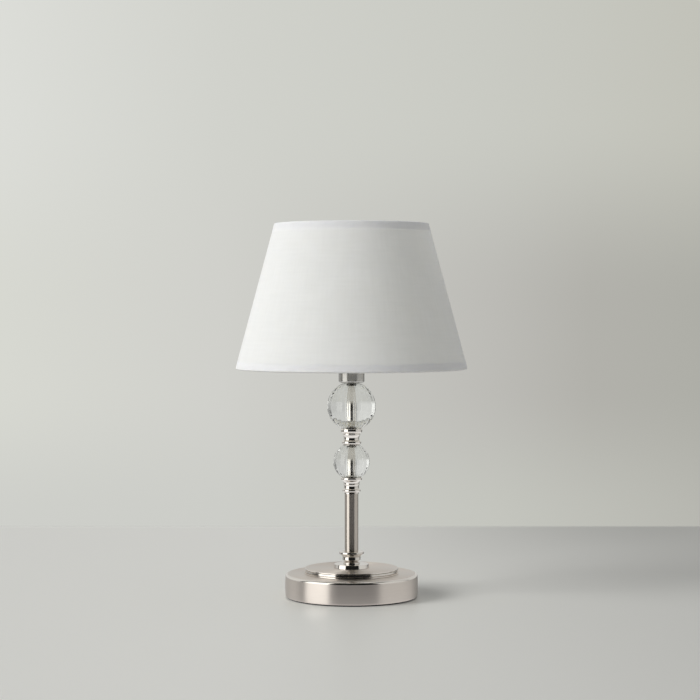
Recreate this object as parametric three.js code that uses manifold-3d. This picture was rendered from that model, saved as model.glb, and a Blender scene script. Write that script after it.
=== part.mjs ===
// Table lamp: a stepped nickel base, a slim column with two fluted glass balls,
// an E14 lampholder with its bulb, and a tapered shade that turns on a fitter ring.
// Millimetres, +Z up, the origin on the table under the middle of the base.
import * as THREE from 'three';
import { mergeVertices } from 'three/addons/utils/BufferGeometryUtils.js';
import Module from 'manifold-3d';

const wasm = await Module();
wasm.setup();

// Clearances
const seat = 0.1; // between flat faces that rest on each other
const slip = 0.3; // between a piece and the round or hollow it sits in
const turning = 0.25; // between flat faces of pieces that turn on each other

const broken = 0.4; // a turned edge with its sharpness taken off

// Base
const pad = { inset: 2.3, height: 1.4 };
const cover = { radius: 71.7, height: 23.9, edge: 2.8, wall: 1.2, corner: 1 };
const step = {
  radius: 50.8, lowerRing: 2.8, upperRing: 3.2, groove: 1.1, grooveHalf: 0.2, edge: 1, lowEdge: 0.7,
};
const weight = { nutPocket: 13, pocketDepth: 9.2, channel: 8, edge: 2, glandRoom: 1 };
const gland = {
  bore: 3.3, shank: 4.3, flange: 6.4, flangeHeight: 1.8, level: 12.5, inside: 4, edge: 0.7, mouth: 0.5,
};

// Column
const rod = { radius: 4, bore: 2.9, foot: 1 };
const footWasher = { radius: 10, height: 1.5 };
const footNut = { acrossFlats: 13, height: 5 };
const headNut = { acrossFlats: 13, height: 3.5 };
const flange = { radius: 19.2, height: 4.3, edge: 0.5 };
const footCollar = {
  flare: 9.4, flareHeight: 0.9, neck: 8.7, neckHeight: 1.6, bead: 9.5, beadHeight: 1.4,
  body: 11, bodyHeight: 4.6, bodyEdge: 1.2, lip: 13.5, lipFlare: 2.1, lipHeight: 2.5, lipRound: 0.8,
  socketDepth: 5.1,
};
const tube = { radius: 7.37, wall: 0.9, shown: 62.3 };
const stemCollar = {
  foot: 7.9, footHeight: 1.7, bead: 9.9, beadHeight: 3.8, waist: 8.2, waistHeight: 4.3,
  ridge: 8.9, ridgeHeight: 1.1, flareHeight: 3.7, lip: 11.5, lipHeight: 3.3, spigot: 6,
};
const middleCollar = {
  foot: 8.8, footHeight: 0.4, bead: 10.4, beadHeight: 4.3, waist: 8.4, waistHeight: 5.6,
  ridge: 9.8, ridgeHeight: 1.8, flareHeight: 1.9, lip: 11.7, lipHeight: 3.9,
};
const sink = 0.8; // how soon below its bead a collar reaches its waist
const lowerBall = { radius: 19.9, flat: 8.5 };
const upperBall = { radius: 26.2, flat: 9 };
const fluting = { count: 24, depth: 0.5 };
const seal = { radius: 8.2, height: 0.4 };

// Lampholder
const cup = { radius: 14, height: 22, wall: 0.8, edge: 1.5 };
const holder = { floor: 3, chamber: 3.3, chamberWall: 2.5, edge: 1 };
const skirt = {
  thread: 13.6, length: 24.3, shoulder: 16.6, shoulderHeight: 2.2, spigot: 2.6,
  shellRoom: 16.2, ledge: 0.5, ledgeWidth: 1.4, mouth: 10.4, edge: 0.8,
};
const screw = { pitch: 2.82, meanRadius: 6.55, depth: 0.8, shellTurns: 5, shellWall: 0.4 };
const contact = {
  width: 4, sheet: 0.5, height: 3.9, foot: 2.6, slope: 2.5, reach: 2, sideFoot: 2.4, lap: 1,
};
const terminal = { head: 1.9, headHeight: 1.3, shank: 1.3, shankLength: 5, out: 7.4 };
const wireWay = { width: 3.4, inner: 4, outer: 8.4 };

// Bulb
const tip = { radius: 2.4, height: 1.6, edge: 0.7 };
const insulator = { lower: 3.2, upper: 5.9, height: 3.2 };
const cap = { turns: 3.5, height: 20, rim: 8.5, rimHeight: 2.6, lead: 0.6 };
const housing = { lower: 8.2, neck: 9.2, neckHeight: 3, upper: 15.6, height: 20, rim: 3, swell: 0.7 };
const dome = { radius: 17.5, height: 55.5, bellyAt: 13, rows: 9, fullness: 0.8, slimness: 0.9 };

// Shade
const shade = { bottom: 125, top: 83, height: 156.4, cloth: 0.9, recess: 10.1 };
const wire = { radius: 1.5, inset: 2.2 };
const fitter = { radius: 20.5, height: 1.5 };
const spoke = { radius: 1.5, count: 3, drop: 14, bend: 1.4, dip: 1.4, straight: 3 };
const ring = {
  radius: 19, flangeHeight: 1.6, grip: 16.3, height: 5, notches: 8, notchDepth: 0.9, notchRadius: 1.2,
};

// Steps round a circle
const fine = 48;
const round = 40;
const medium = 28;
const small = 24;
const tiny = 16; // also the steps of a thread
const least = 12;

const material = {
  satinNickel: new THREE.MeshStandardMaterial({ color: 0xb9aea6, roughness: 0.34, metalness: 1 }),
  polishedNickel: new THREE.MeshStandardMaterial({ color: 0xcfc8c2, roughness: 0.1, metalness: 1 }),
  zincSteel: new THREE.MeshStandardMaterial({ color: 0xa9adb0, roughness: 0.4, metalness: 1 }),
  casting: new THREE.MeshStandardMaterial({ color: 0x8d8a84, roughness: 0.95, metalness: 0 }),
  felt: new THREE.MeshStandardMaterial({ color: 0x2c2c2e, roughness: 1, metalness: 0 }),
  rubber: new THREE.MeshStandardMaterial({ color: 0x3a3a3c, roughness: 0.8, metalness: 0 }),
  glass: new THREE.MeshStandardMaterial({
    color: 0xf4f6f5, roughness: 0.02, metalness: 0, transparent: true, opacity: 0.35,
  }),
  clearSeal: new THREE.MeshStandardMaterial({ color: 0xb7b6b2, roughness: 0.5, metalness: 0 }),
  insulation: new THREE.MeshStandardMaterial({ color: 0xe9e7e1, roughness: 0.5, metalness: 0 }),
  brass: new THREE.MeshStandardMaterial({ color: 0xc9a559, roughness: 0.3, metalness: 1 }),
  aluminium: new THREE.MeshStandardMaterial({ color: 0xc6c8ca, roughness: 0.35, metalness: 1 }),
  opal: new THREE.MeshStandardMaterial({ color: 0xf6f4ee, roughness: 0.35, metalness: 0 }),
  whiteWire: new THREE.MeshStandardMaterial({ color: 0xe6e5e1, roughness: 0.45, metalness: 0 }),
  cloth: new THREE.MeshStandardMaterial({ color: 0xe4e3df, roughness: 0.95, metalness: 0 }),
};

const lamp = new THREE.Group();

function place(name, geometry, finish, level = 0) {
  const mesh = new THREE.Mesh(geometry, finish);
  mesh.name = name;
  mesh.position.z = level;
  lamp.add(mesh);
}

// Outlines are lists of [radius, height], written anticlockwise: out, up and back in.

function arc(radius, height, size, from, to, steps) {
  const points = [];
  for (let i = 0; i <= steps; i += 1) {
    const angle = THREE.MathUtils.degToRad(from + ((to - from) * i) / steps);
    points.push([radius + size * Math.cos(angle), height + size * Math.sin(angle)]);
  }
  return points;
}

function bulge(edge, crest, low, height, steps) {
  const points = [];
  for (let i = 0; i <= steps; i += 1) {
    const share = i / steps;
    points.push([edge + (crest - edge) * Math.sin(Math.PI * share), low + height * share]);
  }
  return points;
}

function turned(outline, steps) {
  const points = outline.map(([radius, height]) => new THREE.Vector2(radius, height));
  if (outline[0][0] > 0) points.push(points[0].clone());
  return new THREE.LatheGeometry(points, steps).rotateX(Math.PI / 2);
}

function pipe(outer, inner, height, steps) {
  return turned([[inner, 0], [outer, 0], [outer, height], [inner, height]], steps);
}

function uprightRod(radius, length, steps) {
  return new THREE.CylinderGeometry(radius, radius, length, steps).rotateX(Math.PI / 2);
}

function nutGeometry(acrossFlats, hole, height) {
  const outline = new THREE.Shape();
  const corner = acrossFlats / Math.sqrt(3);
  for (let i = 0; i < 6; i += 1) {
    const angle = (i * Math.PI) / 3;
    outline[i ? 'lineTo' : 'moveTo'](corner * Math.cos(angle), corner * Math.sin(angle));
  }
  outline.holes.push(new THREE.Path().absarc(0, 0, hole, 0, 2 * Math.PI, true));
  return new THREE.ExtrudeGeometry(outline, { depth: height, bevelEnabled: false, curveSegments: least });
}

function toSolid(geometry) {
  const bare = new THREE.BufferGeometry();
  bare.setAttribute('position', geometry.getAttribute('position').clone());
  bare.setIndex(geometry.getIndex());
  const merged = mergeVertices(bare, 1e-4);
  const faces = [];
  const corners = merged.getIndex().array;
  for (let i = 0; i < corners.length; i += 3) {
    const [a, b, c] = corners.slice(i, i + 3);
    if (a !== b && b !== c && c !== a) faces.push(a, b, c);
  }
  return new wasm.Manifold(new wasm.Mesh({
    numProp: 3,
    vertProperties: new Float32Array(merged.getAttribute('position').array),
    triVerts: new Uint32Array(faces),
  }));
}

function cut(geometry, tools) {
  const solid = tools.reduce((rest, tool) => rest.subtract(toSolid(tool)), toSolid(geometry));
  const mesh = solid.getMesh();
  const result = new THREE.BufferGeometry();
  result.setAttribute('position', new THREE.BufferAttribute(mesh.vertProperties, 3));
  result.setIndex(new THREE.BufferAttribute(mesh.triVerts, 1));
  result.computeVertexNormals();
  return result;
}

// A round skin whose radius changes with the angle. Each station is [height, radius of the angle],
// and the skin closes on itself, or with a flat disc at each end.
function skin(stations, steps, closesOnItself) {
  const positions = [];
  const faces = [];
  for (const [height, radiusAt] of stations) {
    for (let i = 0; i < steps; i += 1) {
      const angle = (2 * Math.PI * i) / steps;
      const radius = radiusAt(angle);
      positions.push(radius * Math.cos(angle), radius * Math.sin(angle), height);
    }
  }
  const bands = closesOnItself ? stations.length : stations.length - 1;
  for (let band = 0; band < bands; band += 1) {
    const above = (band + 1) % stations.length;
    for (let i = 0; i < steps; i += 1) {
      const next = (i + 1) % steps;
      const [a, b] = [band * steps + i, band * steps + next];
      const [c, d] = [above * steps + next, above * steps + i];
      faces.push(a, b, c, a, c, d);
    }
  }
  if (!closesOnItself) {
    const low = positions.length / 3;
    positions.push(0, 0, stations[0][0], 0, 0, stations[stations.length - 1][0]);
    const rim = (stations.length - 1) * steps;
    for (let i = 0; i < steps; i += 1) {
      const next = (i + 1) % steps;
      faces.push(low, next, i, low + 1, rim + i, rim + next);
    }
  }
  const geometry = new THREE.BufferGeometry();
  geometry.setAttribute('position', new THREE.Float32BufferAttribute(positions, 3));
  geometry.setIndex(faces);
  geometry.computeVertexNormals();
  return geometry;
}

// Levels of the column, from the table up. A ball's flat lies below the top of the lip that holds it.

function halfHeight(ball) {
  return Math.sqrt(ball.radius ** 2 - ball.flat ** 2);
}

function riseAt(ball, radius) {
  return halfHeight(ball) - Math.sqrt(ball.radius ** 2 - radius ** 2);
}

function collarHeight(collar) {
  return collar.footHeight + collar.beadHeight + collar.waistHeight + collar.ridgeHeight
    + collar.flareHeight + collar.lipHeight;
}

const lipEdge = 0.4;
const sealRoom = seal.height + 2 * seat;
const rodHole = rod.radius + slip;
const coverLevel = pad.height + seat;
const stepLevel = coverLevel + cover.height + seat;
const stepHeight = step.lowerRing + step.upperRing;
const flangeLevel = stepLevel + stepHeight + seat;
const footCollarLevel = flangeLevel + flange.height + seat;
const footCollarHeight = footCollar.flareHeight + footCollar.neckHeight + footCollar.beadHeight
  + footCollar.bodyHeight + footCollar.lipFlare + footCollar.lipHeight;
const tubeLevel = footCollarLevel + footCollarHeight - footCollar.socketDepth + seat;
const tubeLength = footCollar.socketDepth - seat + tube.shown;
const stemCollarLevel = tubeLevel + tubeLength + seat;
const stemCollarTop = stemCollarLevel + collarHeight(stemCollar);
const lowerFlatLevel = stemCollarTop - riseAt(lowerBall, stemCollar.lip - lipEdge) + slip;
const lowerBallCentre = lowerFlatLevel + halfHeight(lowerBall);
const lowerBallTop = lowerBallCentre + halfHeight(lowerBall);
const middleFoot = middleCollar.foot + lipEdge;
const middleCollarLevel = lowerBallTop - riseAt(lowerBall, middleFoot) + slip;
const middleCollarTop = middleCollarLevel + collarHeight(middleCollar);
const upperFlatLevel = middleCollarTop - riseAt(upperBall, middleCollar.lip - lipEdge) + slip;
const upperBallCentre = upperFlatLevel + halfHeight(upperBall);
const upperBallTop = upperBallCentre + halfHeight(upperBall);
const cupLevel = upperBallTop + sealRoom;
const headNutLevel = cupLevel + cup.wall + seat;
const holderLevel = headNutLevel + headNut.height + seat;
const holderTop = cupLevel + cup.height - skirt.spigot - seat;
const floorLevel = holderTop - holder.chamber;
const rodTop = floorLevel - holder.floor - slip;
const rodLevel = coverLevel + weight.pocketDepth - footWasher.height - footNut.height - 2 * seat
  - rod.foot;

// Base

function basePad() {
  const radius = cover.radius - pad.inset;
  const outline = [[0, 0], [radius, 0], [radius, pad.height], [0, pad.height]];
  place('felt_pad', turned(outline, round), material.felt);
}

function glandTool(radius) {
  const length = 2 * cover.radius;
  const tool = new THREE.CylinderGeometry(radius, radius, length, tiny);
  return tool.translate(0, length / 2, gland.level);
}

function baseCover() {
  const inner = cover.radius - cover.wall;
  const ceiling = cover.height - cover.wall;
  const outline = [
    [inner, 0], [cover.radius - broken, 0], [cover.radius, broken],
    ...arc(cover.radius - cover.edge, cover.height - cover.edge, cover.edge, 0, 90, 4),
    [rodHole, cover.height], [rodHole, ceiling],
    [inner - cover.corner, ceiling], [inner, ceiling - cover.corner],
  ];
  const drum = cut(turned(outline, fine), [glandTool(gland.shank + slip)]);
  place('base_cover', drum, material.satinNickel, coverLevel);
}

function baseWeight() {
  const radius = cover.radius - cover.wall - slip;
  const top = cover.height - cover.wall - seat;
  const outline = [
    [weight.nutPocket, 0], [radius, 0], [radius, top - weight.edge], [radius - weight.edge, top],
    [rodHole, top], [rodHole, weight.pocketDepth], [weight.nutPocket, weight.pocketDepth],
  ];
  const high = gland.level + weight.channel / 2;
  const channel = new THREE.BoxGeometry(weight.channel, radius, 2 * high);
  channel.translate(0, radius / 2 + weight.nutPocket / 2, 0);
  const room = gland.flange + weight.glandRoom;
  const pocket = new THREE.BoxGeometry(2 * room, 2 * gland.inside, 2 * (gland.level + room));
  pocket.translate(0, radius, 0);
  place('base_weight', cut(turned(outline, medium), [channel, pocket]), material.casting, coverLevel);
}

// The gland's length lies along +Y at the back of the cover, its flange outside.
function cordGland() {
  const { bore, shank, flange: rim, inside, edge, mouth } = gland;
  const end = inside + gland.flangeHeight;
  const outline = [
    [bore, 0], [shank, 0], [shank, inside], [rim, inside], [rim, end - edge], [rim - edge, end],
    [bore + mouth, end], [bore, end - mouth],
  ];
  const bush = turned(outline, tiny).rotateX(-Math.PI / 2);
  bush.translate(0, cover.radius + slip / 2 - inside, gland.level);
  place('cord_gland', bush, material.rubber, coverLevel);
}

function baseStep() {
  const { radius, edge, lowEdge, groove, grooveHalf, lowerRing } = step;
  const neck = radius - groove;
  const lean = 70; // degrees that a ring's edge has turned where it meets the groove
  const outline = [
    [rodHole, 0], [radius - broken, 0], [radius, broken],
    ...arc(radius - edge, lowerRing - grooveHalf - edge, edge, 0, lean, 2),
    [neck, lowerRing - grooveHalf / 2], [neck, lowerRing + grooveHalf],
    ...arc(radius - lowEdge, lowerRing + grooveHalf + lowEdge, lowEdge, -lean, 0, 1),
    ...arc(radius - edge, stepHeight - edge, edge, 0, 90, 3),
    [rodHole, stepHeight],
  ];
  place('base_step', turned(outline, round), material.satinNickel, stepLevel);
}

// Column

function footFlange() {
  const { radius, height, edge } = flange;
  const outline = [
    [rodHole, 0], [radius - broken, 0], [radius, broken],
    ...arc(radius - edge, height - edge, edge, 0, 90, 2), [rodHole, height],
  ];
  place('foot_flange', turned(outline, medium), material.polishedNickel, flangeLevel);
}

function footCollarPiece() {
  const { flare, flareHeight, neck, neckHeight, bead, beadHeight } = footCollar;
  const { body, bodyHeight, bodyEdge, lip, lipFlare, lipRound, socketDepth } = footCollar;
  const beadLevel = flareHeight + neckHeight;
  const bodyLevel = beadLevel + beadHeight;
  const lipLevel = bodyLevel + bodyHeight + lipFlare;
  const socket = tube.radius + slip / 2;
  const outline = [
    [rodHole, 0], [flare, 0], [flare, flareHeight / 2], [neck, flareHeight],
    [neck, beadLevel], ...bulge(neck, bead, beadLevel, beadHeight, 2).slice(1, 2),
    [neck, bodyLevel], ...arc(body - bodyEdge, bodyLevel + bodyEdge, bodyEdge, -60, 0, 2),
    [body, lipLevel - lipFlare], [lip - lipRound, lipLevel], [lip, lipLevel + lipRound],
    ...arc(lip - lipRound, footCollarHeight - lipRound, lipRound, 0, 90, 2),
    [socket, footCollarHeight], [socket, footCollarHeight - socketDepth],
    [rodHole, footCollarHeight - socketDepth],
  ];
  place('foot_collar', turned(outline, small), material.polishedNickel, footCollarLevel);
}

function stemTube() {
  const inner = tube.radius - tube.wall;
  place('stem_tube', pipe(tube.radius, inner, tubeLength, small), material.satinNickel, tubeLevel);
}

// The outside of a turned collar, from its foot to its lip.
function collarOutside(collar) {
  const beadLevel = collar.footHeight;
  const waistLevel = beadLevel + collar.beadHeight;
  const ridgeLevel = waistLevel + collar.waistHeight;
  const flareLevel = ridgeLevel + collar.ridgeHeight;
  const lipLevel = flareLevel + collar.flareHeight;
  return [
    [collar.foot, 0], ...bulge(collar.foot + lipEdge, collar.bead, beadLevel, collar.beadHeight, 4),
    [collar.waist, waistLevel + sink], [collar.waist, (waistLevel + ridgeLevel) / 2],
    ...bulge(collar.ridge - lipEdge, collar.ridge, ridgeLevel, collar.ridgeHeight, 2),
    ...bulge(collar.lip - lipEdge, collar.lip, lipLevel, collar.lipHeight, 3),
  ];
}

// The hollow in the top of a collar where a ball stands on its seal.
function dish(ball, top, lip) {
  const depth = riseAt(ball, lip) - slip + sealRoom;
  return [[lip, top], [ball.flat, top - depth], [rodHole, top - depth]];
}

function stemCollarPiece() {
  const top = collarHeight(stemCollar);
  const plug = tube.radius - tube.wall - slip / 2;
  const outline = [
    [rodHole, -stemCollar.spigot], [plug, -stemCollar.spigot], [plug, 0],
    ...collarOutside(stemCollar), ...dish(lowerBall, top, stemCollar.lip - lipEdge).slice(1),
  ];
  place('stem_collar', turned(outline, small), material.polishedNickel, stemCollarLevel);
}

function middleCollarPiece() {
  const top = collarHeight(middleCollar);
  const depth = riseAt(lowerBall, middleFoot) - slip + sealRoom;
  const outline = [
    [rodHole, depth], [lowerBall.flat, depth],
    ...collarOutside(middleCollar), ...dish(upperBall, top, middleCollar.lip - lipEdge).slice(1),
  ];
  place('middle_collar', turned(outline, small), material.polishedNickel, middleCollarLevel);
}

// A glass ball with upright flutes, flat at both ends and bored through.
function glassBall(name, ball, centre, rings) {
  const half = halfHeight(ball);
  const low = -THREE.MathUtils.radToDeg(Math.asin(half / ball.radius));
  const outside = arc(0, 0, ball.radius, low, -low, rings);
  const stations = outside.map(([radius, height]) => [
    height,
    (angle) => radius * (1 - (fluting.depth / ball.radius) * Math.sin((fluting.count / 2) * angle) ** 2),
  ]);
  stations.push([half, () => rodHole], [-half, () => rodHole]);
  place(name, skin(stations, 2 * fluting.count, true), material.glass, centre);
}

function ballSeal(name, level) {
  place(name, pipe(seal.radius, rodHole, seal.height, tiny), material.clearSeal, level);
}

function glassBalls() {
  glassBall('lower_ball', lowerBall, lowerBallCentre, 7);
  glassBall('upper_ball', upperBall, upperBallCentre, 8);
  const balls = [
    ['lower_ball', lowerFlatLevel, lowerBallTop],
    ['upper_ball', upperFlatLevel, upperBallTop],
  ];
  for (const [name, bottom, top] of balls) {
    ballSeal(`${name}_foot_seal`, bottom - seat - seal.height);
    ballSeal(`${name}_top_seal`, top + seat);
  }
}

// The hollow rod carries the lead, shows through the glass, and has a thread only at its ends.
function rodAndNuts() {
  const tie = pipe(rod.radius, rod.bore, rodTop - rodLevel, tiny);
  place('hollow_rod', tie, material.polishedNickel, rodLevel);
  const washerLevel = coverLevel + weight.pocketDepth - seat - footWasher.height;
  const washer = pipe(footWasher.radius, rodHole, footWasher.height, small);
  place('foot_washer', washer, material.zincSteel, washerLevel);
  const nutHole = rod.radius + slip / 2;
  const lowNut = nutGeometry(footNut.acrossFlats, nutHole, footNut.height);
  place('foot_nut', lowNut, material.zincSteel, washerLevel - seat - footNut.height);
  const highNut = nutGeometry(headNut.acrossFlats, nutHole, headNut.height);
  place('head_nut', highNut, material.zincSteel, headNutLevel);
}

// Lampholder

function holderCup() {
  const inner = cup.radius - cup.wall;
  const corner = cup.edge - cup.wall;
  const outline = [
    [rodHole, 0], ...arc(cup.radius - cup.edge, cup.edge, cup.edge, -90, 0, 3),
    [cup.radius, cup.height], [inner, cup.height],
    ...arc(inner - corner, cup.wall + corner, corner, 0, -90, 1), [rodHole, cup.wall],
  ];
  place('holder_cup', turned(outline, medium), material.satinNickel, cupLevel);
}

const insertRadius = cup.radius - cup.wall - slip;

function holderBase() {
  const floor = floorLevel - holderLevel;
  const top = holderTop - holderLevel;
  const chamber = insertRadius - holder.chamberWall;
  const outline = [
    [rodHole, 0], [insertRadius - holder.edge, 0], [insertRadius, holder.edge], [insertRadius, top],
    [chamber, top], [chamber, floor], [0, floor], [0, floor - holder.floor],
    [rodHole, floor - holder.floor],
  ];
  const way = new THREE.BoxGeometry(wireWay.width, wireWay.outer - wireWay.inner, 3 * holder.floor);
  way.translate(0, -(wireWay.outer + wireWay.inner) / 2, floor);
  const holes = [-1, 1].map((side) => {
    const hole = uprightRod(terminal.shank + slip, 2 * (terminal.shankLength + slip), least);
    return hole.translate(side * terminal.out * Math.SQRT1_2, terminal.out * Math.SQRT1_2, floor);
  });
  place('holder_base', cut(turned(outline, small), [way, ...holes]), material.insulation, holderLevel);
}

function terminalScrews() {
  const { head, headHeight, shank, shankLength } = terminal;
  const outline = [
    [0, -shankLength], [shank, -shankLength], [shank, 0], [head, 0],
    [head, headHeight - broken], [head - broken, headHeight], [0, headHeight],
  ];
  for (const [name, side] of [['terminal_screw_left', -1], ['terminal_screw_right', 1]]) {
    const screwBody = turned(outline, least);
    screwBody.translate(side * terminal.out * Math.SQRT1_2, terminal.out * Math.SQRT1_2, 0);
    place(name, screwBody, material.brass, floorLevel + seat);
  }
}

function strip(points, width) {
  const outline = new THREE.Shape(points.map(([x, z]) => new THREE.Vector2(x, z)));
  const geometry = new THREE.ExtrudeGeometry(outline, { depth: width, bevelEnabled: false });
  return geometry.translate(0, 0, -width / 2).rotateX(Math.PI / 2);
}

const ledgeLevel = cupLevel + cup.height - skirt.spigot + seat;
const shellLevel = ledgeLevel + skirt.ledge + seat;
const shellInside = screw.meanRadius + slip;
const shellOutside = shellInside + screw.shellWall;
const ledgeHole = shellOutside + screw.depth / 2 + slip * 2 - skirt.ledgeWidth;

function contacts() {
  const { sheet, width, height, foot, slope, reach, sideFoot } = contact;
  const heel = -slope - foot;
  const bend = sheet / 2;
  const tongue = [
    [heel, 0], [-slope, 0], [0, height - sheet], [reach, height - sheet], [reach, height],
    [-bend, height], [-slope - bend, sheet], [heel, sheet],
  ];
  place('centre_contact', strip(tongue, width), material.brass, floorLevel + seat);
  const top = shellLevel + contact.lap - floorLevel - seat;
  const outer = shellInside - screw.depth / 2 - slip;
  const side = [
    [outer - sheet, top], [outer - sheet, 0], [outer + sideFoot, 0], [outer + sideFoot, sheet],
    [outer, sheet], [outer, top],
  ];
  place('side_contact', strip(side, width / 2), material.brass, floorLevel + seat);
}

// A knuckle thread: the radius at an angle and height, for a right-hand screw.
function threadRadius(mean, angle, height) {
  return mean + (screw.depth / 2) * Math.cos(angle - (2 * Math.PI * height) / screw.pitch);
}

const rowsPerTurn = 5;

function threadStations(mean, from, turns, base) {
  const stations = [];
  const rows = Math.round(turns * rowsPerTurn);
  for (let i = 0; i <= rows; i += 1) {
    const height = from + (turns * screw.pitch * i) / rows;
    stations.push([height, (angle) => threadRadius(mean, angle, base + height)]);
  }
  return stations;
}

function screwShell() {
  const outside = threadStations(shellOutside, 0, screw.shellTurns, shellLevel);
  const inside = threadStations(shellInside, 0, screw.shellTurns, shellLevel).reverse();
  place('screw_shell', skin([...outside, ...inside], tiny, true), material.brass, shellLevel);
}

const skirtLevel = cupLevel + cup.height + seat;

function holderSkirt() {
  const { thread, shoulder, shoulderHeight, spigot, mouth, ledge, edge } = skirt;
  const bore = shellOutside + screw.depth / 2 + slip * 2;
  const top = skirt.length;
  const low = seat - spigot;
  const roomTop = low + skirt.shellRoom;
  const outline = [
    [ledgeHole, low], [insertRadius, low], [insertRadius, 0], [shoulder - broken, 0],
    [shoulder, broken], [shoulder, shoulderHeight], [thread, shoulderHeight],
    [thread, top - edge], [thread - edge, top], [mouth, top], [mouth, roomTop],
    [bore, roomTop], [bore, low + ledge], [ledgeHole, low + ledge],
  ];
  place('holder_skirt', turned(outline, medium), material.insulation, skirtLevel);
}

// Bulb

const tipLevel = floorLevel + seat + contact.height + slip;
const insulatorLevel = tipLevel + tip.height + seat;
const capLevel = insulatorLevel + insulator.height + seat;
const housingLevel = capLevel + cap.height + seat;
const domeLevel = housingLevel + housing.height + seat;

function bulbTip() {
  const { radius, height, edge } = tip;
  const outline = [[0, 0], [radius - edge, 0], [radius, edge], [radius, height], [0, height]];
  place('bulb_tip', turned(outline, tiny), material.brass, tipLevel);
}

function bulbInsulator() {
  const { lower, upper, height } = insulator;
  const outline = [[0, 0], [lower, 0], [upper, height - broken], [upper, height], [0, height]];
  place('bulb_insulator', turned(outline, tiny), material.rubber, insulatorLevel);
}

function bulbCap() {
  const neck = screw.meanRadius;
  const thread = threadStations(neck, cap.lead, cap.turns, capLevel);
  const threadTop = cap.lead + cap.turns * screw.pitch;
  const flareTop = cap.height - cap.rimHeight;
  const stations = [
    [0, () => insulator.upper], ...thread, [threadTop + cap.lead, () => neck],
    [(threadTop + flareTop) / 2, () => neck + screw.depth / 2], [flareTop, () => cap.rim],
    [cap.height, () => cap.rim],
  ];
  place('bulb_cap', skin(stations, tiny, false), material.aluminium, capLevel);
}

function bulbHousing() {
  const { lower, neck, neckHeight, upper, height, rim, swell } = housing;
  const outline = [
    [0, 0], [lower, 0], [neck, neckHeight],
    [(neck + upper) / 2 + swell, (neckHeight + height) / 2 - swell],
    [upper, height - rim], [upper, height], [0, height],
  ];
  place('bulb_housing', turned(outline, small), material.opal, housingLevel);
}

function bulbDome() {
  const { radius, height, bellyAt, rows, fullness, slimness } = dome;
  const belly = Array.from({ length: rows }, (_, i) => {
    const share = i / rows;
    const width = radius * Math.cos((share * Math.PI) / 2) ** fullness;
    return [width, bellyAt + (height - bellyAt) * share ** slimness];
  });
  const flank = [housing.upper + (radius - housing.upper) * Math.SQRT1_2, bellyAt / 2];
  const outline = [[0, 0], [housing.upper, 0], flank, ...belly, [0, height]];
  place('bulb_dome', turned(outline, small), material.opal, domeLevel);
}

// Shade

const fitterLevel = skirtLevel + skirt.shoulderHeight + turning;
const shadeLevel = fitterLevel - shade.recess;
const turningHole = skirt.thread + slip;
const taper = (shade.bottom - shade.top) / shade.height;
const clothWidth = shade.cloth * Math.hypot(1, taper);

// The middle of a wire that lies just inside the cloth at a height above the shade's lower edge.
function wireRadius(height) {
  const clear = (wire.radius + slip) * Math.hypot(1, taper);
  return shade.bottom - taper * height - clothWidth - clear;
}

function shadeCloth() {
  const { bottom, top, height } = shade;
  const outline = [
    [bottom - clothWidth, 0], [bottom, 0], [top, height], [top - clothWidth, height],
  ];
  place('shade_cloth', turned(outline, fine), material.cloth, shadeLevel);
}

function shadeWires() {
  const hoops = [
    ['shade_lower_wire', wire.inset],
    ['shade_upper_wire', shade.height - wire.inset],
  ];
  for (const [name, level] of hoops) {
    const hoop = new THREE.TorusGeometry(wireRadius(level), wire.radius, 6, round);
    place(name, hoop, material.whiteWire, shadeLevel + level);
  }
}

function shadeFitter() {
  const plate = pipe(fitter.radius, turningHole, fitter.height, medium);
  place('shade_fitter', plate, material.whiteWire, fitterLevel);
}

function shadeSpokes() {
  const start = fitter.radius + slip;
  const level = fitterLevel + fitter.height / 2;
  const hoop = new THREE.Vector3(wireRadius(wire.inset), 0, shadeLevel + wire.inset);
  const drop = level - hoop.z;
  const reach = wire.radius + slip;
  const slope = new THREE.Vector3(-spoke.drop, 0, drop).normalize();
  const end = hoop.clone().addScaledVector(slope, reach);
  const bend = new THREE.Vector3(end.x - spoke.drop - spoke.bend, 0, level - spoke.dip);
  const points = [
    new THREE.Vector3(start, 0, level), new THREE.Vector3((start + bend.x) / 2, 0, level), bend,
    end.clone().addScaledVector(slope, spoke.straight), end,
  ];
  const path = new THREE.CatmullRomCurve3(points, false, 'centripetal');
  const section = new THREE.Shape().absarc(0, 0, spoke.radius, 0, 2 * Math.PI, false);
  const sweep = { steps: 12, curveSegments: 3, extrudePath: path };
  for (let i = 0; i < spoke.count; i += 1) {
    const arm = new THREE.ExtrudeGeometry(section, sweep);
    arm.rotateZ(Math.PI / 2 + (2 * Math.PI * i) / spoke.count);
    place(`shade_spoke_${i + 1}`, arm, material.whiteWire);
  }
}

function shadeRing() {
  const { radius, flangeHeight, grip, height, notches, notchDepth, notchRadius } = ring;
  const outline = [
    [turningHole, 0], [radius - broken, 0], [radius, broken], [radius, flangeHeight],
    [grip, flangeHeight], [grip, height - broken], [grip - broken, height], [turningHole, height],
  ];
  const tools = Array.from({ length: notches }, (_, i) => {
    const tool = uprightRod(notchRadius, 2 * height, 6);
    tool.translate(grip + notchRadius - notchDepth, 0, height + flangeHeight + broken);
    return tool.rotateZ((2 * Math.PI * i) / notches);
  });
  const level = fitterLevel + fitter.height + turning;
  place('shade_ring', cut(turned(outline, medium), tools), material.insulation, level);
}

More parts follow.
